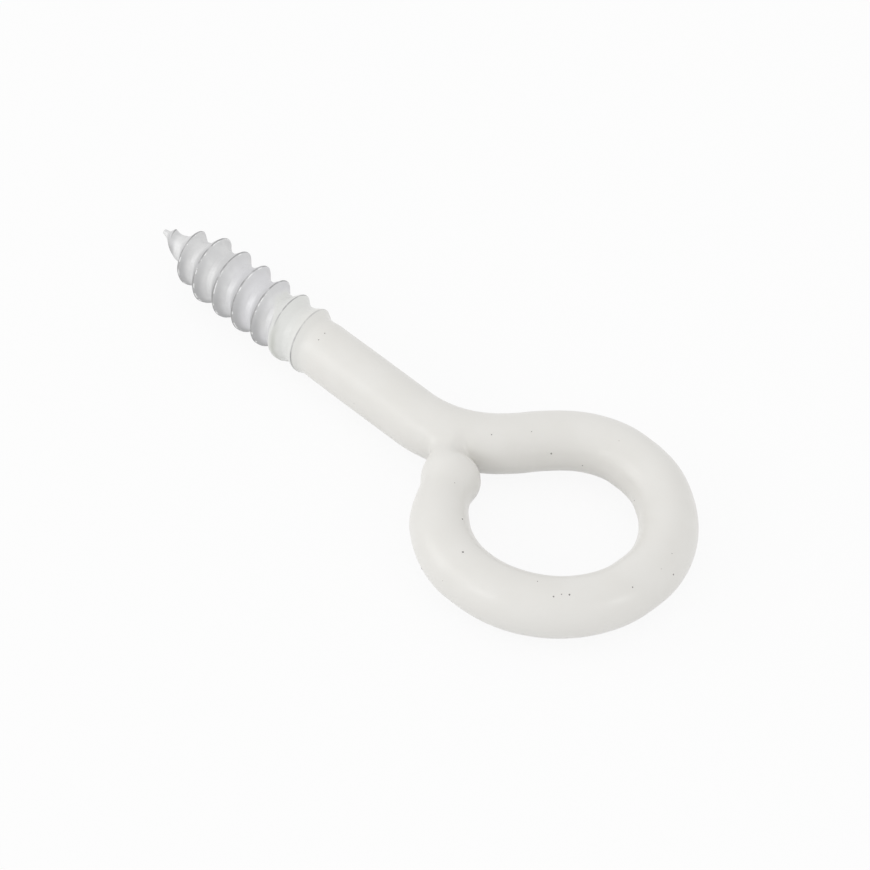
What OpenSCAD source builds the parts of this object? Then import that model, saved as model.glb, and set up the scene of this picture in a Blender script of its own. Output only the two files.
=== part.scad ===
// Screw eye bent from one length of coated steel wire.
// It lies flat: the shank runs along +X from the point to the eye, the eye's axis is +Z.

/* [Wire] */
// Diameter of the coated wire
wire_d = 5.0; // [4.5:0.1:5.5]

/* [Thread] */
// Length from the tip of the point to the plain shank
thread_l = 19.6; // [17.0:0.1:28.0]
// Outside diameter over the crests
thread_d = 5.8; // [5.6:0.1:6.4]
// Diameter at the root of the thread
core_d = 4.2; // [3.8:0.1:4.4]
// Distance from one crest to the next
thread_pitch = 2.33; // [2.1:0.01:2.6]
// Width of the slope on each side of a crest
flank_w = 0.88; // [0.7:0.01:0.95]
// Length over which the point grows to the full thread
point_l = 6.5; // [5.5:0.1:7.5]
// Diameter of the blunt nib at the tip
tip_d = 0.6; // [0.4:0.1:0.8]
// Length of the last turns, where the coat fills the roots
coated_l = 5.2; // [4.0:0.1:6.0]
// Root diameter under the coat
coated_core_d = 4.8; // [4.5:0.1:4.9]

/* [Shank] */
// Length of the plain shank between the thread and the neck
shank_l = 10.1; // [6.0:0.1:30.0]

/* [Neck] */
// Centreline radius of the neck bend
neck_r = 9.8; // [8.0:0.1:12.0]
// Angle of the neck bend
neck_angle = 59.6; // [54.0:0.1:64.0]

/* [Eye] */
// Centreline radius of the first stretch of the eye
eye_r1 = 9.2; // [8.4:0.1:10.4]
// Centreline radius of the stretch farthest from the shank
eye_r2 = 9.4; // [8.4:0.1:10.4]
// Centreline radius of the last stretch of the eye
eye_r3 = 9.5; // [8.4:0.1:10.4]
// Turn of the first stretch
eye_turn1 = 100; // [80:1:120]
// Turn of the second stretch
eye_turn2 = 110; // [95:1:125]

/* [Wire end] */
// Diameter of the bead on the wire end
bead_d = 5.0; // [4.8:0.1:5.4]
// How far the bead is pressed into the outside of the neck
bead_sink = 0.43; // [0.2:0.01:0.8]
// Turn from the rounded shoulder of the wire to the centre of the bead
bead_turn = 22.5; // [18:0.5:24]
// Diameter of the waist between the shoulder and the bead
waist_d = 4.4; // [4.2:0.1:4.8]
// How far the waist is offset towards the middle of the eye
waist_offset = 0.12; // [0:0.01:0.2]

/* [Hidden] */
$fa = 5;
$fs = 0.3;

coat_white = [0.88, 0.88, 0.86];
wire_r = wire_d / 2;
lap = 0.1;      // how far each stretch of wire enters the one before it
step = 0.01;    // how much thinner it is there, so that no faces coincide

// The thread: rings of points a fixed step apart, each turned with the lead.
// A ring holds one point on every edge line of the thread's form.
rings = 28;                            // rings in one turn
ring_dx = thread_pitch / rings;
lines = [0, 1, 3, 6, 9, 12, 14, 17, 20, 23, 26];   // edge lines, in ring steps after the crest
line_n = len(lines);
ring_last = ceil((thread_l + 0.4) / ring_dx);
crest_w = ring_dx;
start_angle = 270 + 360 / rings;       // puts a crest exactly under the axis
nose = 0.12;                           // length of the rounded end of the nib

// Root radius and crest radius along the thread, from the tip on
core_table = [
    [0, 0.75 * tip_d / 2],
    [0.07 * point_l, tip_d / 2],
    [0.18 * point_l, 0.14 * core_d],
    [0.34 * point_l, 0.235 * core_d],
    [0.62 * point_l, 0.37 * core_d],
    [0.85 * point_l, 0.47 * core_d],
    [point_l, core_d / 2],
    [thread_l - coated_l, core_d / 2],
    [thread_l - 0.65 * coated_l, coated_core_d / 2],
    [thread_l - 0.35 * coated_l, coated_core_d / 2],
    [thread_l, wire_r - step]
];
crest_table = [
    [0, 0.75 * tip_d / 2],
    [0.07 * point_l, 0.55 * tip_d],
    [0.14 * point_l, 0.145 * thread_d],
    [0.29 * point_l, 0.185 * thread_d],
    [0.46 * point_l, 0.345 * thread_d],
    [0.65 * point_l, 0.42 * thread_d],
    [0.83 * point_l, 0.49 * thread_d],
    [point_l, thread_d / 2],
    [thread_l - 0.42 * coated_l, thread_d / 2],
    [thread_l - 0.23 * coated_l, 0.48 * thread_d],
    [thread_l - 0.04 * coated_l, wire_r - step]
];

// Height of the form (0 at the root, 1 at the crest) on an edge line
function from_crest(n) = ring_dx * min(abs(n - 0.5), abs(n - 0.5 - rings));
function height(n) = pow(max(0, 1 - max(0, from_crest(n) - crest_w / 2) / flank_w), 1.1);

function ring_r(x, n) =
    let (core = lookup(x, core_table), crest = max(core, lookup(x, crest_table)))
    core + (crest - core) * height(n);
function ring_point(j, n) =
    let (x = j * ring_dx, a = start_angle + 360 * (j - n) / rings, r = ring_r(x, n))
    [x, r * cos(a), r * sin(a)];

// Number of a point: ring j, edge line i (the line after the last is the first again)
function id(j, i) = j * line_n + i % line_n;
function gap(i) = (i + 1 < line_n ? lines[i + 1] : rings) - lines[i];

thread_points = concat(
    [for (j = [0:ring_last]) for (n = lines) ring_point(j, n)],
    [[-nose, 0, 0]]
);
thread_faces = concat(
    // bands between two edge lines, cut square to the axis
    [for (i = [0:line_n - 1]) for (j = [0:ring_last - gap(i) - 1])
        [id(j, i), id(j + gap(i), i + 1), id(j + 1, i)]],
    [for (i = [0:line_n - 1]) for (j = [0:ring_last - gap(i) - 1])
        [id(j + 1, i), id(j + gap(i), i + 1), id(j + 1 + gap(i), i + 1)]],
    // the corners left over at both ends of each band
    [for (i = [0:line_n - 1]) for (m = [0:gap(i) - 1])
        [id(0, i), id(m, i + 1), id(m + 1, i + 1)]],
    [for (i = [0:line_n - 1]) for (m = [ring_last - gap(i):ring_last - 1])
        [id(m, i), id(ring_last, i + 1), id(m + 1, i)]],
    // the nib and the flat end inside the shank
    [for (i = [0:line_n - 1]) [id(0, i), (ring_last + 1) * line_n, id(0, i + 1)]],
    [[for (i = [0:line_n - 1]) id(ring_last, i)]]
);

// The wire's line in plan: where the bends start and where their centres lie
function side(h) = [sin(h), -cos(h)];  // points to the right of heading h
neck_start = [thread_l + shank_l, 0];
neck_c = neck_start + neck_r * [0, 1];
eye_p1 = neck_c + neck_r * side(neck_angle);
eye_c1 = eye_p1 + eye_r1 * side(neck_angle);
turn1_end = neck_angle - eye_turn1;
eye_c2 = eye_c1 + (eye_r2 - eye_r1) * side(turn1_end);
turn2_end = turn1_end - eye_turn2;
eye_c3 = eye_c2 + (eye_r3 - eye_r2) * side(turn2_end);
function on_eye(h) = eye_c3 - eye_r3 * side(h);

// The last stretch runs on until its bead is pressed into the outside of the neck.
// The centres of this stretch, the neck and the bead form a triangle whose sides are known.
function corner(a, b, opposite) = acos((a * a + b * b - opposite * opposite) / (2 * a * b));
to_neck = neck_c - eye_c3;
neck_to_bead = neck_r + wire_r + bead_d / 2 - bead_sink;
bead_corner = corner(norm(to_neck), eye_r3, neck_to_bead);
bead_heading = atan2(to_neck[1], to_neck[0]) + bead_corner - 450;
shoulder = bead_heading + bead_turn;

eye_wire_r = wire_r - 3 * step;
x_middle = (eye_c2[0] + eye_r2 + eye_wire_r - nose) / 2;
y_middle = (eye_c1[1] + eye_r1 + eye_c3[1] - eye_r3) / 2 + step;

screw_eye();

module screw_eye() {
    color(coat_white)
    translate([-x_middle, -y_middle, thread_d / 2])
    union() {
        threaded_point();
        plain_shank();
        neck();
        eye();
        wire_end();
    }
}

module threaded_point() {
    polyhedron(thread_points, thread_faces, convexity = 10);
}

module plain_shank() {
    translate([thread_l, 0, 0])
        rotate([0, 90, 0])
            cylinder(r = wire_r, h = shank_l);
}

// A bend of the wire about a centre, between two polar angles
module bend(centre, bend_r, from, to, r) {
    translate([centre[0], centre[1], 0])
        rotate(from)
            rotate_extrude(angle = to - from)
                translate([bend_r, 0])
                    circle(r = r);
}

function lap_angle(bend_r) = lap / bend_r * 180 / PI;

module neck() {
    bend(neck_c, neck_r, -90 - lap_angle(neck_r), neck_angle - 90, wire_r - step);
}

module eye() {
    bend(eye_c1, eye_r1, turn1_end + 90, neck_angle + 90 + lap_angle(eye_r1), wire_r - 2 * step);
    bend(eye_c2, eye_r2, turn2_end + 90, turn1_end + 90 + lap_angle(eye_r2), eye_wire_r);
    bend(eye_c3, eye_r3, shoulder + 90, turn2_end + 90 + lap_angle(eye_r3), wire_r - 4 * step);
}

// The rounded shoulder, the waist and the bead that closes the eye
module wire_end() {
    at(on_eye(shoulder + lap_angle(eye_r3))) sphere(r = wire_r - 5 * step);
    bend(eye_c3, eye_r3 - waist_offset, bead_heading + 90, shoulder + 90 + lap_angle(eye_r3), waist_d / 2);
    at(on_eye(bead_heading)) sphere(d = bead_d);
}

module at(p) {
    translate([p[0], p[1], 0]) children();
}
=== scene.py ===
"""A coated screw eye lying on a pale table: bent wire, wood-screw thread, white coat and bare zinc point."""
import math

import bpy
import numpy as np
from mathutils import Matrix, Vector


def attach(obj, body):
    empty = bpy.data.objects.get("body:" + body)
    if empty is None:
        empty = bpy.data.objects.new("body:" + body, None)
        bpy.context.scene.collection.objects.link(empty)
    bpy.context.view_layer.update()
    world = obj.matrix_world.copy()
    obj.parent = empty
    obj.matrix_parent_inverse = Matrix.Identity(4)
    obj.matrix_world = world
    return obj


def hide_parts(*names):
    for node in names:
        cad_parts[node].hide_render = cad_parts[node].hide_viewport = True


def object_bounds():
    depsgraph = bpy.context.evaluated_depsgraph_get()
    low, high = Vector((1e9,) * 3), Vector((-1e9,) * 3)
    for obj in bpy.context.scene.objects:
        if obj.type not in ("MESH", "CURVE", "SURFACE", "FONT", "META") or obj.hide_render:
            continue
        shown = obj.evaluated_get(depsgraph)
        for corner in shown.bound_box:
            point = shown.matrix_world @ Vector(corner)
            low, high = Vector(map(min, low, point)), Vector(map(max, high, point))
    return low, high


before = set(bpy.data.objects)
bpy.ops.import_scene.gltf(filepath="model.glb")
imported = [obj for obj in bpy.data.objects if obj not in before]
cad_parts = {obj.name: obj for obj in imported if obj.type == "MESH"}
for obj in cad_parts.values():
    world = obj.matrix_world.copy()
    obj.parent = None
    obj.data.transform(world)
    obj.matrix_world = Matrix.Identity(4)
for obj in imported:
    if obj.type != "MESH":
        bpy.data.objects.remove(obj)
cad_low, cad_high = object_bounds()

MM = 0.001            # sizes below are in millimetres, finished meshes in metres

# ---- the wire and its line in plan, from the tip of the point on ----
WIRE_R = 2.5
THREAD_LENGTH = 19.6
SHANK_LENGTH = 10.1
NECK_R = 9.8
NECK_ANGLE = 59.6
EYE_R = (9.2, 9.4, 9.5)
EYE_TURN = (100.0, 110.0)
SHANK_WIRE_R = 2.52
EYE_CAD_R = 2.48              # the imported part's wire where the eye is widest
SHANK_FULL_AT = 23.0          # the wire's radius along the shank, from the thread on
SHANK_LINE = ((THREAD_LENGTH, WIRE_R), (SHANK_FULL_AT, SHANK_WIRE_R),
              (THREAD_LENGTH + SHANK_LENGTH, SHANK_WIRE_R))

# The eye as it was bent: the turn from its start in degrees, below zero in the neck, how far the wire lies
# outside its bend's line, and its radius
BENT = ((-10, 0, 2.52), (12, -0.18, 2.5), (30, 0, 2.48), (48, 0.1, 2.46), (60, 0, 2.45), (74, 0, 2.45),
        (94, -0.1, 2.45), (120, 0, 2.47), (138, 0.07, 2.46), (150, 0, 2.46), (162, 0.06, 2.48),
        (180, 0.02, 2.52), (216, -0.06, 2.57), (240, -0.07, 2.52), (252, 0.02, 2.55), (276, 0, 2.49))
BENT_OUT = [(turn, out) for turn, out, _ in BENT]
BENT_R = [(turn, radius) for turn, _, radius in BENT]

# ---- the wire end: a waist, then a bead pressed into the neck ----
BEAD_R = 2.53
BEAD_SINK = 0.43
BEAD_SHIFT = 0.1              # how far the bead lies outside the bend's line
END_WIRE_R = 2.49
WAIST_R = 2.2
WAIST_OFFSET = 0.2            # towards the middle of the eye
WAIST_AT = 11.0               # degrees of the bend before the bead's centre
TAPER_AT = 34.0
CAP_LENGTH = 2.2              # the wire's end is a little flatter than half a ball

# ---- the weld: the coat that bridges the groove between bead and neck ----
WELD_REACH = 2.7              # where the coat ran thickest
WELD_THIN = 0.12              # share of that reach where it is thinnest
WELD_LEFT = (-0.9, 1.3)       # it grows between these places left of the bead's middle
WELD_UP = (-0.3, 1.7)         # and between these heights over the wire's middle,
WELD_LOW = 0.5                # where it starts from this share
WELD_SKIN = 0.03              # points of the mesh this near the weld's level,
WELD_AREA = 6.0               # and this near the bead's centre, are shaded with its slope
HEART_UP = 0.6                # the point that the bridge spreads from, over the wire's middle
HEART_LEFT = 0.9              # and left of the bead's middle
BRIDGE_REACH = 5.0
BRIDGE_SUNK = 0.008           # how far the bridge lies under the wire's skin where it ends
BRIDGE_ROWS, BRIDGE_COLUMNS = 80, 160
BRIDGE_STEPS = 100            # steps outward in search of the skin,
BRIDGE_HALVINGS = 14          # and halvings of the step in which it lies

# ---- the thread. Angles round the wire are 0 to the left of its heading, and 90 on top ----
UNDERSIDE = 270.0
PITCH = 2.33
CREST_R = 2.9
CREST_AT = -0.04              # where a crest passes under the axis
CREST_WIDTH = 0.09
LOW_CREST = 0.1               # a crest no higher than this has no marks
FLANK_WIDTH = 0.88
FLANK_POWER = 1.15            # over 1, the flanks are a little hollow
WAVER = 0.012                 # how much the crests' height wavers: waves in a turn, and their phase
WAVER_WAVES = ((2.3, 1), (3.7, 0), (7.1, 2))
NOSE = 0.12                   # length of the nib's round end
NOSE_AT = 0.1                 # where it begins
NIB_LIFT = 0.2                # the nib is bent up a little
NIB_LENGTH = 1.4

# Radius of root and crest, by the distance from the tip
ROOT_LINE = ((0, 0.21), (0.45, 0.3), (1.2, 0.6), (2.2, 0.99), (4.0, 1.55), (5.5, 1.98), (6.5, 2.1),
             (13.4, 2.1), (14.6, 2.14), (16.2, 2.4), (17.8, 2.42), (19.6, 2.5))
CREST_LINE = ((0, 0.21), (0.45, 0.33), (0.9, 0.85), (1.9, 1.08), (3.0, 2.02), (4.2, 2.44), (5.3, 2.82),
              (6.5, 2.89), (16.9, 2.89), (17.9, 2.8), (18.7, 2.56), (19.6, 2.5))

# ---- the coat's edge across the thread ----
COAT_EDGE = 14.3
COAT_TILT = 1.1
COAT_TILT_AT = 35.0
EDGE_WAVES = ((0.12, 3, 0.6), (0.08, 5, 2), (0.05, 11, 0))    # size, waves round the wire, phase
COAT_LIP = 0.05
LIP_WIDTH = 0.22
LIP_SHARE = 0.5               # of the lip's height, and one lip more where the coat ran thick
COATED_FLANK = 1.12
COAT_ROUNDS = 0.4             # how far the coat rounds a crest; all the way where it ran thick
COAT_STARTS = 0.25            # half the length over which that sets in
RUN_AT, RUN_ANGLE = 15.4, 188.0       # where the coat ran thick over a crest
RUN_LENGTH, RUN_SPREAD = 0.9, 50.0
HOLLOW_AT = 0.8               # past the coat's edge
HOLLOW_WIDTH = 0.3
HOLLOW_DEPTH = 2.5            # in heights of the lip
EDGE_BLUR = 0.03              # how soft the coat's colour ends,
MORE_BLUR = 0.22              # and how much softer on the left and on top,
BLUR_ANGLES = (160, 100)      # which sets in between these angles

# ---- painted dark reflections on the crests, and painted shade on the flanks ----
COAT_REFLECTION_SHARE = 0.9               # how much of the painted dark reflection shows on a coated crest,
REFLECTION_FULL_TO = 16.3                # up to this place along the wire
REFLECTION_LEAST = 0.4              # after that it is all the way only round one angle
REFLECTION_ANGLE, REFLECTION_SPREAD = 180.0, 60.0
REFLECTION_STARTS = 0.2             # half the length over which the coat covers the crest
RUN_COVERS = 1.5              # how much of the painted dark reflection is hidden where the coat ran thick
NIB_REFLECTION_CUT = 0.85             # the point's first turn has the painted dark reflection round one angle only,
NIB_REFLECTION_AT = (2.7, 2.1)         # which sets in between these places
NIB_REFLECTION_ANGLE, NIB_REFLECTION_SPREAD = 60.0, 50.0
FLANK_SHADE_LEAST = 0.25             # of a flank's painted shade; it grows to 1
FLANK_SHADE_ANGLES = (80, 190)       # between these angles,
FLANK_SHADE_AWAY = (0.85, 0.25)      # and between these distances from the crest

# ---- how finely the wire is meshed ----
SIDES = 80                    # points round the wire, and rings in one turn of the thread
SHANK_RINGS = 50
RING_GAP = 0.2                # between rings round the eye,
FINE_GAP = 0.12               # and round the neck and towards the bead
NOSE_RINGS, CAP_RINGS = 8, 15
FAR_OFF = 9.0                 # stands for no crest near, and for well past the coat's edge


def eased(t):
    """0 to 1 with level ends: 3t^2 - 2t^3."""
    t = np.clip(t, 0, 1)
    return t * t * (3 - 2 * t)


def rising(x, low, high):
    """0 at low and 1 at high, with level ends. Low may be the greater of the two."""
    return eased((x - low) / (high - low))


def bell(x, at, width):
    """1 at a place, and e^-(distance / width)^2 beside it."""
    return np.exp(-((x - at) / width) ** 2)


def through(x, knots):
    """Smooth curve through (place, value) knots, which rises and falls only as they do: a cubic between two
    knots, and at each knot the harmonic mean of the slopes beside it, or level where they differ in sign."""
    at, value = np.array(knots, float).T
    secant = np.diff(value) / np.diff(at)
    before, after = np.append(secant[0], secant), np.append(secant, secant[-1])
    same = before * after > 0
    slope = np.where(same, 2 * before * after / np.where(same, before + after, 1), 0)
    i = np.clip(np.searchsorted(at, x) - 1, 0, len(at) - 2)
    wide = at[i + 1] - at[i]
    t = np.clip((x - at[i]) / wide, 0, 1)
    return (value[i] + (value[i + 1] - value[i]) * eased(t)
            + wide * t * (1 - t) * ((1 - t) * slope[i] - t * slope[i + 1]))


def right_of(heading):
    """Unit vectors to the right of headings in degrees."""
    h = np.radians(heading)
    return np.stack([np.sin(h), -np.cos(h)], -1)


# Each bend starts where the last one ends, so their centres lie on one line through that point
HEADINGS = (NECK_ANGLE, NECK_ANGLE - EYE_TURN[0], NECK_ANGLE - EYE_TURN[0] - EYE_TURN[1])
neck_centre = np.array([THREAD_LENGTH + SHANK_LENGTH, NECK_R])
centre_1 = neck_centre + (NECK_R + EYE_R[0]) * right_of(HEADINGS[0])
centre_2 = centre_1 + (EYE_R[1] - EYE_R[0]) * right_of(HEADINGS[1])
centre_3 = centre_2 + (EYE_R[2] - EYE_R[1]) * right_of(HEADINGS[2])

# The bead's centre makes a triangle of known sides with the centres of the neck and of the last bend
to_neck = neck_centre - centre_3
neck_to_bead = NECK_R + 2 * WIRE_R - BEAD_SINK
bead_corner = math.acos((to_neck @ to_neck + EYE_R[2] ** 2 - neck_to_bead**2)
                        / (2 * np.linalg.norm(to_neck) * EYE_R[2]))
# On a right-hand bend the heading is the polar angle less 90 degrees, and the wire has gone round once by then
bead_heading = math.degrees(math.atan2(to_neck[1], to_neck[0]) + bead_corner) - 90 - 360
bead_centre = centre_3 - (EYE_R[2] + BEAD_SHIFT) * right_of(bead_heading)
ahead = np.array([math.cos(math.radians(bead_heading)), math.sin(math.radians(bead_heading))])
FAR_SIDE = -90.0              # heading of the wire at the point of the eye farthest from the thread

# The line's own origin, on the axis at the tip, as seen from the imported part
origin = np.array([
    cad_low.x / MM + NOSE,
    cad_high.y / MM - (centre_1[1] + EYE_R[0] + EYE_CAD_R),
    cad_low.z / MM + CREST_R,
])


def past_coat_edge(x, angle):
    """Distance along the wire past the coat's edge, which tilts across the wire and waves a little."""
    a = np.radians(angle)
    edge = COAT_EDGE - COAT_TILT * np.cos(a - math.radians(COAT_TILT_AT))
    for size, waves, phase in EDGE_WAVES:
        edge = edge + size * np.sin(waves * a + phase)
    return x - edge


def from_crest(x, angle):
    """Distance along the wire past the nearest crest, which moves on by one pitch in a turn."""
    lead = CREST_AT + PITCH * (angle - UNDERSIDE) / 360
    return (x - lead + PITCH / 2) % PITCH - PITCH / 2


def coat_run(x, angle):
    """1 where the coat ran thick, falling off as a bell along the wire and round it."""
    return bell(x, RUN_AT, RUN_LENGTH) * bell(angle, RUN_ANGLE, RUN_SPREAD)


def coat_hollow(x, angle):
    """1 in the middle of the shallow hollow behind the lip, where the coat ran thick."""
    return coat_run(x, angle) * bell(past_coat_edge(x, angle), HOLLOW_AT, HOLLOW_WIDTH)


def thread_radius(x, angle):
    """Root radius plus a ridge that falls off from the crest: nearly straight flanks where the zinc is bare,
    a rounder form under the coat, which ends in a low lip. The crests waver a little along the helix."""
    away = np.abs(from_crest(x, angle))
    bare = np.clip(1 - np.maximum(away - CREST_WIDTH / 2, 0) / FLANK_WIDTH, 0, 1) ** FLANK_POWER
    soft = 0.5 + 0.5 * np.cos(np.pi * np.clip(away / COATED_FLANK, 0, 1))
    past, run = past_coat_edge(x, angle), coat_run(x, angle)
    rounded = (COAT_ROUNDS + (1 - COAT_ROUNDS) * run) * rising(past, -COAT_STARTS, COAT_STARTS)
    height = bare + rounded * (soft - bare)
    root = through(x, ROOT_LINE)
    rise = np.maximum(through(x, CREST_LINE) - root, 0)
    turn = 2 * np.pi * x / PITCH
    waver = 1 + WAVER * sum(np.sin(waves * turn + phase) - 1 for waves, phase in WAVER_WAVES)
    lip = bell(past, LIP_WIDTH, LIP_WIDTH) * (LIP_SHARE + run) - HOLLOW_DEPTH * coat_hollow(x, angle)
    return root + rise * waver * height + COAT_LIP * lip * (1 - height + run * height)


def crest_dark_reflection(x, angle):
    """How much painted dark reflection shows on a crest: all of it on the zinc, and less under the coat, which
    shows it most on the right."""
    one_side = REFLECTION_LEAST + (1 - REFLECTION_LEAST) * bell(angle, REFLECTION_ANGLE, REFLECTION_SPREAD)
    coat = np.where(x < REFLECTION_FULL_TO, COAT_REFLECTION_SHARE, one_side)
    coat = np.clip(coat - RUN_COVERS * coat_run(x, angle), 0, 1)
    point = 1 - NIB_REFLECTION_CUT * (1 - bell(angle, NIB_REFLECTION_ANGLE, NIB_REFLECTION_SPREAD)) * rising(x, *NIB_REFLECTION_AT)
    return point * (1 + (coat - 1) * rising(past_coat_edge(x, angle), -REFLECTION_STARTS, REFLECTION_STARTS))


def flank_shade(x, angle):
    """How much painted shade darkens a flank: most beside the crest, on the right and underneath."""
    down = FLANK_SHADE_LEAST + (1 - FLANK_SHADE_LEAST) * rising(angle, *FLANK_SHADE_ANGLES)
    return down * rising(np.abs(from_crest(x, angle)), *FLANK_SHADE_AWAY)


def end_taper(before_bead):
    """Share of the way from the full wire to the waist, and from the waist to the bead, by the degrees of
    the bend that are left before the bead's centre."""
    return rising(before_bead, TAPER_AT, WAIST_AT), rising(before_bead, WAIST_AT, 0)


def end_radius(before_bead):
    """Radius of the wire end: full, down to the waist, up to the bead."""
    to_waist, to_bead = end_taper(before_bead)
    return END_WIRE_R + (WAIST_R - END_WIRE_R) * to_waist + (BEAD_R - WAIST_R) * to_bead


def end_shift(before_bead):
    """How far the wire end lies outside its bend's line: in at the waist, out at the bead."""
    to_waist, to_bead = end_taper(before_bead)
    return ((BEAD_SHIFT + WAIST_OFFSET) * to_bead + BEAD_SHIFT * to_waist * (1 - to_bead)
            - WAIST_OFFSET * to_waist)


def bend_rows(centre, radius, start, end, gap):
    """Points and headings of one bend: centre minus or plus radius times the right of the heading, for a
    right-hand or left-hand bend."""
    count = round(math.radians(abs(end - start)) * radius / gap)
    heading = np.linspace(start, end, count, endpoint=False)
    return centre + math.copysign(radius, end - start) * right_of(heading), heading


def wire_rows():
    """The wire from tip to bead, ring by ring: points in plan, headings, and radii for every angle round it.
    Then the ring on the eye's far side where its mesh is split in two, and the bead's pole."""
    rows = []

    def add(points, heading, radius):
        rows.append((points, heading, np.broadcast_to(radius, (len(points), SIDES))))

    def add_straight(x, radius):
        add(np.stack([x, 0 * x], -1), 0 * x, radius)

    angle = np.arange(SIDES) * 360 / SIDES
    nose = np.radians(np.linspace(0, 90, NOSE_RINGS + 1)[:-1])
    tip = thread_radius(np.full((1, SIDES), NOSE_AT), angle)
    add_straight(NOSE_AT - NOSE * np.cos(nose), tip * np.sin(nose)[:, None])
    ring_gap = PITCH / SIDES
    x = np.arange(NOSE_AT, THREAD_LENGTH - ring_gap / 2, ring_gap)
    add_straight(x, thread_radius(x[:, None], angle))
    x = np.linspace(THREAD_LENGTH, neck_centre[0], SHANK_RINGS, endpoint=False)
    add_straight(x, through(x, SHANK_LINE)[:, None])

    for centre, bend_r, start, end, gap in (
            (neck_centre, NECK_R, 0, HEADINGS[0], FINE_GAP),
            (centre_1, EYE_R[0], HEADINGS[0], HEADINGS[1], RING_GAP),
            (centre_2, EYE_R[1], HEADINGS[1], FAR_SIDE, RING_GAP),
            (centre_2, EYE_R[1], FAR_SIDE, HEADINGS[2], RING_GAP),
            (centre_3, EYE_R[2], HEADINGS[2], bead_heading + TAPER_AT, RING_GAP)):
        if start == FAR_SIDE:
            cut = sum(len(row[1]) for row in rows)
        points, heading = bend_rows(centre, bend_r, start, end, gap)
        turn = math.copysign(1, end - start) * (heading - HEADINGS[0])
        out, radius = through(turn, BENT_OUT), through(turn, BENT_R)
        add(points - out[:, None] * right_of(heading), heading, radius[:, None])

    points, heading = bend_rows(centre_3, EYE_R[2], bead_heading + TAPER_AT, bead_heading, FINE_GAP)
    before = heading - bead_heading
    add(points - end_shift(before)[:, None] * right_of(heading), heading, end_radius(before)[:, None])
    cap = np.radians(np.linspace(0, 90, CAP_RINGS + 1)[:-1])[:, None]
    points = bead_centre + CAP_LENGTH * np.sin(cap) * ahead
    add(points, np.full(len(cap), bead_heading), BEAD_R * np.cos(cap))
    points, heading, radius = (np.concatenate([row[k] for row in rows]) for k in range(3))
    return points, heading, radius, cut, bead_centre + CAP_LENGTH * ahead


def skin(points, heading, radius):
    """Points of the wire's skin in millimetres, ring by ring: centre + radius (cos a left + sin a up)."""
    a = np.radians(np.arange(SIDES) * 360 / SIDES)
    left = -right_of(heading)
    ring = np.zeros(radius.shape + (3,))
    ring[..., :2] = points[:, None] + radius[..., None] * np.cos(a)[None, :, None] * left[:, None]
    ring[..., 2] = radius * np.sin(a)
    return ring + origin


def closed_tube(name, rings, first_pole=None, last_pole=None):
    """Mesh of a grid of rings, split along the helix so that a crest runs along edges. Each end closes in a
    pole, or in a flat face where no pole is given."""
    n, sides = rings.shape[:2]
    verts = rings.reshape(-1, 3)
    j, c = np.meshgrid(np.arange(n - 1) * sides, np.arange(sides), indexing="ij")
    d = (c + 1) % sides
    faces = np.concatenate([
        np.stack([j + c, j + d, j + sides + d], -1).reshape(-1, 3),
        np.stack([j + c, j + sides + d, j + sides + c], -1).reshape(-1, 3),
    ]).tolist()
    c = np.arange(sides)
    d = (c + 1) % sides
    if first_pole is None:
        faces.append(c[::-1].tolist())
    else:
        verts = np.concatenate([verts, [first_pole]])
        faces += np.stack([np.full(sides, len(verts) - 1), d, c], -1).tolist()
    last = (n - 1) * sides
    if last_pole is None:
        faces.append((last + c).tolist())
    else:
        verts = np.concatenate([verts, [last_pole]])
        faces += np.stack([np.full(sides, len(verts) - 1), last + c, last + d], -1).tolist()
    mesh = bpy.data.meshes.new(name)
    mesh.from_pydata((verts * MM).tolist(), [], faces)
    mesh.validate()
    return mesh


def linked(name, data):
    """A new object of the scene, with this mesh, lamp or camera as its data."""
    made = bpy.data.objects.new(name, data)
    bpy.context.scene.collection.objects.link(made)
    return made


def fused(first, second):
    """One closed mesh from two that overlap or share an end face."""
    joint = first.modifiers.new("fuse", "BOOLEAN")
    joint.operation, joint.solver, joint.object = "UNION", "EXACT", second
    depsgraph = bpy.context.evaluated_depsgraph_get()
    mesh = bpy.data.meshes.new_from_object(first.evaluated_get(depsgraph))
    for o in (first, second):
        bpy.data.objects.remove(o)
    return mesh


def neck_distance(p):
    """Distance of points from the skin of the neck, inside it below zero."""
    ring = np.hypot(*(p[:, :2] - origin[:2] - neck_centre).T) - NECK_R
    return np.hypot(ring, p[:, 2] - origin[2]) - SHANK_WIRE_R


def bead_distance(p):
    """Distance of points from the skin of the bead and the wire behind it, inside it below zero."""
    flat = p[:, :2] - origin[:2]
    out = flat - centre_3
    before = (np.degrees(np.arctan2(out[:, 1], out[:, 0])) - 90 - bead_heading + 180) % 360 - 180
    ring = np.hypot(out[:, 0], out[:, 1]) - EYE_R[2] - end_shift(before)
    behind = np.hypot(ring, p[:, 2] - origin[2]) - end_radius(before)
    along, across = (flat - bead_centre) @ ahead, (flat - bead_centre) @ right_of(bead_heading)
    cap = np.sqrt((along * BEAD_R / CAP_LENGTH) ** 2 + across**2 + (p[:, 2] - origin[2]) ** 2) - BEAD_R
    return np.where(before > 0, behind, cap)


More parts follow.
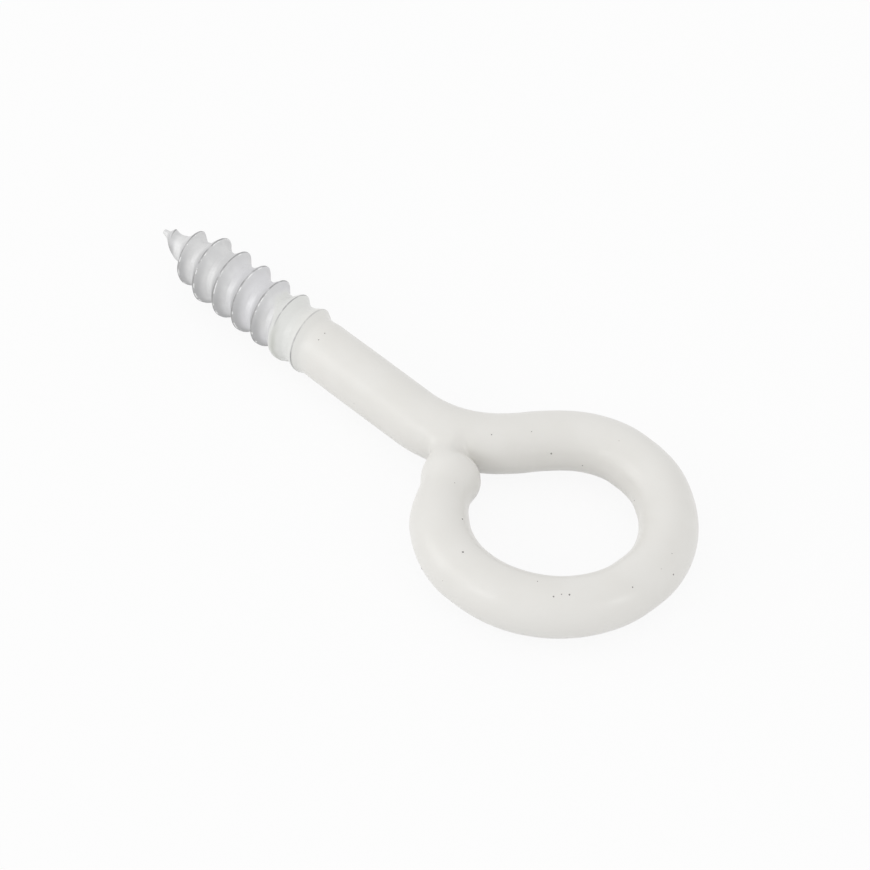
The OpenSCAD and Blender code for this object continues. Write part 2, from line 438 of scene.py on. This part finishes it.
def weld(p):
    """Level that is zero on the coat over bead and neck: the nearer distance, less a part that grows to a
    quarter of the reach where both are the same. The reach is largest on top, left of the bead's middle."""
    a, b = neck_distance(p), bead_distance(p)
    left = (bead_centre - p[:, :2] + origin[:2]) @ right_of(bead_heading)
    high = WELD_LOW + (1 - WELD_LOW) * rising(p[:, 2] - origin[2], *WELD_UP)
    reach = WELD_REACH * (WELD_THIN + (1 - WELD_THIN) * rising(left, *WELD_LEFT) * high)
    near = np.clip(1 - np.abs(a - b) / reach, 0, 1)
    return np.minimum(a, b) - near**2 * reach / 4


def slope_of(field, p):
    """Gradient of a field at points, by differences."""
    step = 1e-3
    return np.stack([(field(p + step * e) - field(p - step * e)) / (2 * step) for e in np.eye(3)], -1)


def coat_bridge():
    """Closed skin of the coat that bridges the groove: from a point between bead and neck, out in every
    direction to where the weld's level is just below zero, but not farther than the bridge's reach."""
    heart = origin + (*(bead_centre + CAP_LENGTH * ahead - HEART_LEFT * right_of(bead_heading)), HEART_UP)
    up = np.radians(np.linspace(-90, 90, BRIDGE_ROWS + 1)[1:-1])[:, None]
    about = np.radians(np.arange(BRIDGE_COLUMNS) * 360 / BRIDGE_COLUMNS)
    way = np.stack([np.cos(up) * np.cos(about), np.cos(up) * np.sin(about), np.sin(up) + 0 * about], -1)

    def outside(distance):
        """Whether the sunk skin has been passed at these distances."""
        p = heart + distance[..., None] * way
        return weld(p.reshape(-1, 3)).reshape(way.shape[:2]) + BRIDGE_SUNK > 0

    steps = np.linspace(0, BRIDGE_REACH, BRIDGE_STEPS + 1)
    out = np.stack([outside(np.full(way.shape[:2], distance)) for distance in steps])
    first = np.where(out.any(0), out.argmax(0), BRIDGE_STEPS)
    near, far = steps[np.maximum(first - 1, 0)], steps[first]
    for _ in range(BRIDGE_HALVINGS):
        middle = (near + far) / 2
        passed = outside(middle)
        near, far = np.where(passed, near, middle), np.where(passed, middle, far)
    rings = heart + near[..., None] * way
    return closed_tube("bridge", rings[::-1], rings[-1].mean(0), rings[0].mean(0))


def smooth_weld(mesh):
    """Shades the bridge and the wire beside it with the weld's own slope, so that no seam shows. Gives back
    the mesh's points in millimetres."""
    p, normal = np.empty(len(mesh.vertices) * 3), np.empty(len(mesh.vertices) * 3)
    mesh.vertices.foreach_get("co", p)
    mesh.vertices.foreach_get("normal", normal)
    p, normal = p.reshape(-1, 3) / MM, normal.reshape(-1, 3)
    beside = ((p[:, :2] - origin[:2] - bead_centre) ** 2).sum(1) < WELD_AREA**2
    near = np.flatnonzero((np.abs(weld(p)) < WELD_SKIN) & beside)
    slope = slope_of(weld, p[near])
    normal[near] = slope / np.linalg.norm(slope, axis=1)[:, None]
    mesh.shade_smooth()
    mesh.normals_split_custom_set_from_vertices(normal.tolist())
    return p


def mark(mesh, name, values):
    """Stores a number on each vertex."""
    mesh.attributes.new(name, "FLOAT", "POINT").data.foreach_set("value", values.astype(np.float32))


def make_wire(points, heading, radius, cut, pole):
    """The whole screw eye: thread, shank, neck and eye, with the bead fused to the neck."""
    rings = skin(points, heading, radius)
    rings[..., 2] += NIB_LIFT * eased(1 - (rings[..., 0] - origin[0]) / NIB_LENGTH)
    tip = origin + (NOSE_AT - NOSE, 0, NIB_LIFT)
    first = linked("wire", closed_tube("wire", rings[: cut + 1], first_pole=tip))
    second = linked("wire_end", closed_tube("wire_end", rings[cut:], last_pole=origin + (*pole, 0)))
    mesh = fused(linked("wire", fused(first, second)), linked("bridge", coat_bridge()))
    mesh.name = "coated_wire"

    x, y, z = (smooth_weld(mesh) - origin).T
    angle = np.degrees(np.arctan2(z, y)) % 360
    threaded = x < THREAD_LENGTH
    crested = threaded & (through(x, CREST_LINE) - through(x, ROOT_LINE) > LOW_CREST)
    mark(mesh, "past_coat_edge", np.where(threaded, past_coat_edge(x, angle), FAR_OFF))
    mark(mesh, "coat_hollow", np.where(threaded, coat_hollow(x, angle), 0))
    mark(mesh, "edge_blur", EDGE_BLUR + MORE_BLUR * rising(angle, *BLUR_ANGLES))
    mark(mesh, "from_crest", np.where(crested, from_crest(x, angle), FAR_OFF))
    mark(mesh, "crest_dark_reflection", np.where(threaded, crest_dark_reflection(x, angle), 0))
    mark(mesh, "flank_shade", np.where(crested, flank_shade(x, angle), 0))
    return linked("coated_wire", mesh)


# ---- pinholes in the coat: place along the wire from the tip, angle round it, and radius ----
PINHOLES = ((84.3, 132, 0.08), (80.1, 86, 0.09), (36.8, 116, 0.05), (39.9, 113, 0.04), (41.7, 158, 0.08),
            (45.1, 183, 0.06), (53.6, 172, 0.05), (61.3, 59, 0.04), (62.3, 29, 0.07), (62.9, 54, 0.03),
            (65.7, 57, 0.06), (73.2, 98, 0.05), (71.8, 68, 0.07), (71.2, 73, 0.05), (70.5, 72, 0.08),
            (79.9, 17, 0.03), (88.7, 113, 0.04), (48.1, 106, 0.03), (19.45, 95, 0.05), (19.5, 113, 0.05),
            (25.1, 178, 0.03), (29.5, 199, 0.04))
MORE_PINHOLES = 16            # on the side that lies down, placed by chance between these bounds
MORE_BOUNDS = ((21, 86), (205, 350), (0.05, 0.09))
CHANCE_SEED = 4
LENS_SIDES = 10
LENS_FLAT = 0.3               # thickness of a pinhole's lens, as a share of its width


def make_pinholes(points, heading, radius):
    """Dark spots in the coat, each a flat closed lens half sunk in the skin: centre + radius (cos v (cos u
    forward + sin u across) + flatness sin v out)."""
    chance = np.random.default_rng(CHANCE_SEED)
    more = np.stack([chance.uniform(low, high, MORE_PINHOLES) for low, high in MORE_BOUNDS], -1)
    place, angle, size = np.concatenate([PINHOLES, more]).T
    along = np.concatenate([[0], np.cumsum(np.linalg.norm(np.diff(points, axis=0), axis=1))])
    row = np.searchsorted(along, place)
    a = np.radians(angle)[:, None]
    level = np.zeros((len(place), 1))
    left = np.hstack([-right_of(heading[row]), level])
    out = np.cos(a) * left + np.sin(a) * (0, 0, 1)
    forward = np.cross(left, (0, 0, 1))
    across = np.cross(out, forward)
    centre = origin + np.hstack([points[row], level]) + radius[row, :1] * out

    # One lens: three rings of points, then the pole in the wire and the pole outside
    n = LENS_SIDES
    u, v = np.meshgrid(np.arange(n) * 2 * np.pi / n, np.radians([-45, 0, 45]))
    lens = np.stack([np.cos(v) * np.cos(u), np.cos(v) * np.sin(u), LENS_FLAT * np.sin(v)], -1)
    lens = np.concatenate([lens.reshape(-1, 3), [(0, 0, -LENS_FLAT), (0, 0, LENS_FLAT)]])
    axes = np.stack([forward, across, out], 1)
    verts = centre[:, None] + size[:, None, None] * np.einsum("vk,nkd->nvd", lens, axes)
    c = np.arange(n)
    d = (c + 1) % n
    faces = np.concatenate([np.stack(face, -1) for face in (
        (c, d, d + n), (c, d + n, c + n), (c + n, d + n, d + 2 * n), (c + n, d + 2 * n, c + 2 * n),
        (c + 2 * n, d + 2 * n, 3 * n + 1 + 0 * c), (d, c, 3 * n + 0 * c))])
    faces = (faces + len(lens) * np.arange(len(place))[:, None, None]).reshape(-1, 3)
    mesh = bpy.data.meshes.new("pinholes")
    mesh.from_pydata((verts.reshape(-1, 3) * MM).tolist(), [], faces.tolist())
    mesh.shade_smooth()
    return linked("pinholes", mesh)


class Shader:
    """A material's node tree, with short ways to add nodes and link them."""

    def __init__(self, name):
        self.material = bpy.data.materials.new(name)
        self.material.use_nodes = True
        self.tree = self.material.node_tree
        self.surface = self.tree.nodes["Principled BSDF"]
        self.output = self.tree.nodes["Material Output"]

    def add(self, kind, inputs=(), **settings):
        """Adds a node, sets it up, and links or sets its inputs."""
        node = self.tree.nodes.new("ShaderNode" + kind)
        for key, value in settings.items():
            setattr(node, key, value)
        for key, value in dict(inputs).items():
            self.put(value, node.inputs[key])
        return node

    def put(self, value, socket):
        """Links an output, or sets a plain value."""
        if isinstance(value, bpy.types.NodeSocket):
            self.tree.links.new(value, socket)
        else:
            socket.default_value = value

    def number(self, name):
        """A number stored on the mesh."""
        return self.add("Attribute", attribute_name=name).outputs["Fac"]

    def noise(self, scale, detail=2.0):
        """Noise on the piece's own place, scale in waves per metre."""
        place = self.add("TexCoord").outputs["Object"]
        return self.add("TexNoise", {"Vector": place, "Scale": scale, "Detail": detail}).outputs["Fac"]

    def span(self, value, low, high, out_low=0.0, out_high=1.0):
        """Maps low..high to out_low..out_high with level ends."""
        return self.add("MapRange", {"Value": value, 1: low, 2: high, 3: out_low, 4: out_high},
                        interpolation_type="SMOOTHSTEP").outputs[0]

    def calc(self, operation, a, b=0.0):
        """Plain arithmetic."""
        return self.add("Math", {0: a, 1: b}, operation=operation).outputs[0]

    def blend(self, share, a, b):
        """Colour between a and b."""
        mix = self.add("Mix", data_type="RGBA")
        self.put(share, mix.inputs[0])
        self.put(a, mix.inputs[6])
        self.put(b, mix.inputs[7])
        return mix.outputs[2]

    def bump(self, height, distance):
        """Normal of a relief this many metres high."""
        return self.add("Bump", {"Height": height, "Distance": distance}).outputs["Normal"]


# ---- colours ----
COAT = (0.79, 0.778, 0.748, 1)
COAT_SHADE = (0.77, 0.757, 0.724, 1)
COAT_THIN = (0.76, 0.765, 0.745, 1)    # on the thread
COAT_HOLLOW_SHADE = (0.52, 0.53, 0.49, 1)      # painted shade in the hollow behind the lip
ZINC = (0.77, 0.77, 0.77, 1)
ZINC_DULL = (0.69, 0.69, 0.692, 1)
ZINC_BLUE = (0.74, 0.738, 0.753, 1)    # near the coat
# painted shade on the flanks
ZINC_FLANK_SHADE = (0.50, 0.50, 0.505, 1)
# painted dark reflection along the crests
CREST_DARK_REFLECTION = (0.36, 0.36, 0.36, 1)
CREST_GLINT = (0.90, 0.90, 0.90, 1)   # painted highlights beside the crest
PINHOLE = (0.26, 0.25, 0.24, 1)
WHITE = (1, 1, 1, 1)
TABLE = (0.82, 0.82, 0.82, 1)

# ---- finish: lengths in millimetres past the coat's edge or from the crest ----
MOST = (0.3, 0.7)             # holds nearly all of a noise
EDGE_RAGGED = 0.3             # how far the coat's edge strays
COAT_THICKENS = (1.5, 5.5)
ZINC_TURNS_BLUE = (-6.5, -3.5)
# painted highlights beside the crest: they rise over the first two distances and fall over the last two
GLINT_NEAR, GLINT_FAR = (0.04, 0.08), (0.17, 0.1)
LINE_EDGE = (0.10, 0.04)      # where the painted dark reflection on the crest begins and is full
ZINC_METAL = 0.35             # duller than a polished metal
COAT_ROUGH = (0.285, 0.35)    # on a glossier coat the render's noise filter leaves loops
ZINC_ROUGH = (0.5, 0.62)
COAT_IOR = 1.5
PEEL_HEIGHT = 0.02 * MM
GRAIN_SHARE = 0.06            # of the finer grain in the orange-peel
PINHOLE_ROUGH, TABLE_ROUGH = 0.7, 0.9


def coated_zinc():
    """White coat with a faint orange-peel on the wire, satin zinc on the thread, bluer near the coat, painted
    shade on the flanks and behind the lip, and painted dark reflections along the crests with painted
    highlights beside them."""
    s = Shader("coated_zinc")

    # How far the coat covers the zinc
    past = s.number("past_coat_edge")
    stray = s.calc("MULTIPLY", s.calc("SUBTRACT", s.noise(1800), 0.5), EDGE_RAGGED)
    coated = s.span(s.calc("DIVIDE", s.calc("ADD", past, stray), s.number("edge_blur")), -1.0, 1.0)
    bare = s.calc("SUBTRACT", 1.0, coated)

    # Colours of the zinc and the coat, each in soft patches
    zinc = s.blend(s.span(s.noise(700, 3), *MOST), ZINC_DULL, ZINC)
    blue = s.calc("MULTIPLY", s.span(past, *ZINC_TURNS_BLUE), s.span(s.noise(300), 0.3, 0.6))
    zinc = s.blend(blue, zinc, ZINC_BLUE)
    # Painted shade on the flanks
    zinc = s.blend(s.number("flank_shade"), zinc, ZINC_FLANK_SHADE)
    coat = s.blend(s.span(s.noise(250), *MOST), COAT_SHADE, COAT)
    coat = s.blend(s.span(past, *COAT_THICKENS), COAT_THIN, coat)
    # Painted shade in the hollow behind the lip
    coat = s.blend(s.number("coat_hollow"), coat, COAT_HOLLOW_SHADE)
    colour = s.blend(coated, zinc, coat)

    # Painted highlights on one side of the crest, then the painted dark reflection along it
    crest = s.number("from_crest")
    glint = s.calc("MULTIPLY", s.span(crest, *GLINT_NEAR), s.span(crest, *GLINT_FAR))
    here_and_there = s.span(s.noise(1500), 0.52, 0.6)
    glint = s.calc("MULTIPLY", glint, s.calc("MULTIPLY", bare, here_and_there))
    colour = s.blend(glint, colour, CREST_GLINT)
    line = s.calc("MULTIPLY", s.span(s.calc("ABSOLUTE", crest), *LINE_EDGE), s.number("crest_dark_reflection"))
    uneven = s.span(s.noise(1100, 3), 0.3, 0.55, 0.3, 1.0)
    colour = s.blend(s.calc("MULTIPLY", line, uneven), colour, CREST_DARK_REFLECTION)

    # Gloss and relief
    rough_coat = s.calc("MULTIPLY", s.span(s.noise(700), *MOST, *COAT_ROUGH), coated)
    rough_zinc = s.calc("MULTIPLY", s.span(s.noise(2500, 3), *MOST, *ZINC_ROUGH), bare)
    peel = s.calc("ADD", s.noise(650, 1), s.calc("MULTIPLY", s.noise(6000), GRAIN_SHARE))
    for socket, value in (("Base Color", colour), ("Metallic", s.calc("MULTIPLY", bare, ZINC_METAL)),
                          ("Roughness", s.calc("ADD", rough_coat, rough_zinc)),
                          ("Normal", s.bump(peel, PEEL_HEIGHT)), ("IOR", COAT_IOR)):
        s.put(value, s.surface.inputs[socket])
    return s.material


def pinhole_dark():
    """Dull dark grey of the pinholes."""
    s = Shader("pinhole_dark")
    s.put(PINHOLE, s.surface.inputs["Base Color"])
    s.put(PINHOLE_ROUGH, s.surface.inputs["Roughness"])
    return s.material


# ---- table, light and camera: metres, degrees and watts ----
TABLE_HALF = 1.5
TABLE_GLOW = 0.9              # how far the camera and reflections see plain white instead of the table
WORLD_LIGHT, WORLD_SEEN = 0.85, 1.0
# Azimuth, elevation, distance, size and power
LAMPS = {
    "key": (310, 23, 0.9, 0.5, 1.2),
    "window": (350, 28, 0.9, 0.24, 0.55),
    "fill": (95, 32, 0.9, 0.24, 0.5),
}
CAMERA_AZIMUTH = 42.885
CAMERA_ELEVATION = 47.089
CAMERA_ROLL = 2.319
CAMERA_AIM = Vector((6.43, -3.30, 7.52)) * MM
CAMERA_DISTANCE = 600 * MM
LENS, SENSOR = 303.2, 36      # millimetres of the camera's own
CLIP = (0.05, 10)


def white_table():
    """Pale table: its own colour carries the shadow, and the camera and reflections see it near white."""
    s = Shader("white_table")
    path = s.add("LightPath")
    seen = s.calc("MAXIMUM", path.outputs["Is Camera Ray"], path.outputs["Is Glossy Ray"])
    seen = s.calc("MAXIMUM", seen, path.outputs["Is Transmission Ray"])
    s.put(TABLE, s.surface.inputs["Base Color"])
    s.put(TABLE_ROUGH, s.surface.inputs["Roughness"])
    glow = s.add("Emission", {"Color": WHITE, "Strength": 1.0}).outputs[0]
    both = s.add("MixShader", {0: s.calc("MULTIPLY", seen, TABLE_GLOW), 1: s.surface.outputs[0], 2: glow})
    s.put(both.outputs[0], s.output.inputs["Surface"])
    return s.material


def make_table():
    """The table top, level with the part's underside."""
    z = cad_low.z
    corners = [(x * TABLE_HALF, y * TABLE_HALF, z) for x, y in ((-1, -1), (1, -1), (1, 1), (-1, 1))]
    mesh = bpy.data.meshes.new("table")
    mesh.from_pydata(corners, [], [(0, 1, 2, 3)])
    table = linked("table", mesh)
    table.data.materials.append(white_table())


def make_world():
    """Even white surroundings: full white to the camera and reflections, plain studio light to the rest."""
    world = bpy.data.worlds.new("studio")
    world.use_nodes = True
    bpy.context.scene.world = world
    tree = world.node_tree
    path = tree.nodes.new("ShaderNodeLightPath")
    seen = tree.nodes.new("ShaderNodeMath")
    seen.operation = "MAXIMUM"
    tree.links.new(path.outputs["Is Camera Ray"], seen.inputs[0])
    tree.links.new(path.outputs["Is Glossy Ray"], seen.inputs[1])
    strength = tree.nodes.new("ShaderNodeMapRange")
    strength.inputs["To Min"].default_value = WORLD_LIGHT
    strength.inputs["To Max"].default_value = WORLD_SEEN
    tree.links.new(seen.outputs[0], strength.inputs["Value"])
    background = tree.nodes["Background"]
    background.inputs["Color"].default_value = WHITE
    tree.links.new(strength.outputs[0], background.inputs["Strength"])


def towards(azimuth, elevation):
    """Unit vector from the part to the camera or a lamp: azimuth 0 is on the side of -Y, 90 on that of +X,
    and elevation is counted from level."""
    a, e = math.radians(azimuth), math.radians(elevation)
    return Vector((math.sin(a) * math.cos(e), -math.cos(a) * math.cos(e), math.sin(e)))


def make_lamp(name, azimuth, elevation, distance, size, power):
    """Square soft lamp aimed at the part."""
    back = towards(azimuth, elevation)
    light = bpy.data.lights.new(name, "AREA")
    light.size = size
    light.energy = power
    lamp = linked(name, light)
    lamp.location = back * distance
    lamp.rotation_euler = back.to_track_quat("Z", "Y").to_euler()


def make_camera():
    """Long lens that looks down on the part from the eye's side."""
    back = towards(CAMERA_AZIMUTH, CAMERA_ELEVATION)
    camera = linked("camera", bpy.data.cameras.new("camera"))
    camera.data.lens, camera.data.sensor_width = LENS, SENSOR
    camera.data.clip_start, camera.data.clip_end = CLIP
    turn = back.to_track_quat("Z", "Y").to_matrix() @ Matrix.Rotation(math.radians(CAMERA_ROLL), 3, "Z")
    camera.matrix_world = Matrix.Translation(CAMERA_AIM + back * CAMERA_DISTANCE) @ turn.to_4x4()
    bpy.context.scene.camera = camera


points, heading, radius, cut, pole = wire_rows()

wire = make_wire(points, heading, radius, cut, pole)
wire.data.materials.append(coated_zinc())
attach(wire, "root")
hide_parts("screw_eye")

pinholes = make_pinholes(points, heading, radius)
pinholes.data.materials.append(pinhole_dark())
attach(pinholes, "root")

make_table()
make_world()
for name, lamp in LAMPS.items():
    make_lamp(name, *lamp)
make_camera()
bpy.context.scene.view_settings.view_transform = "Standard"
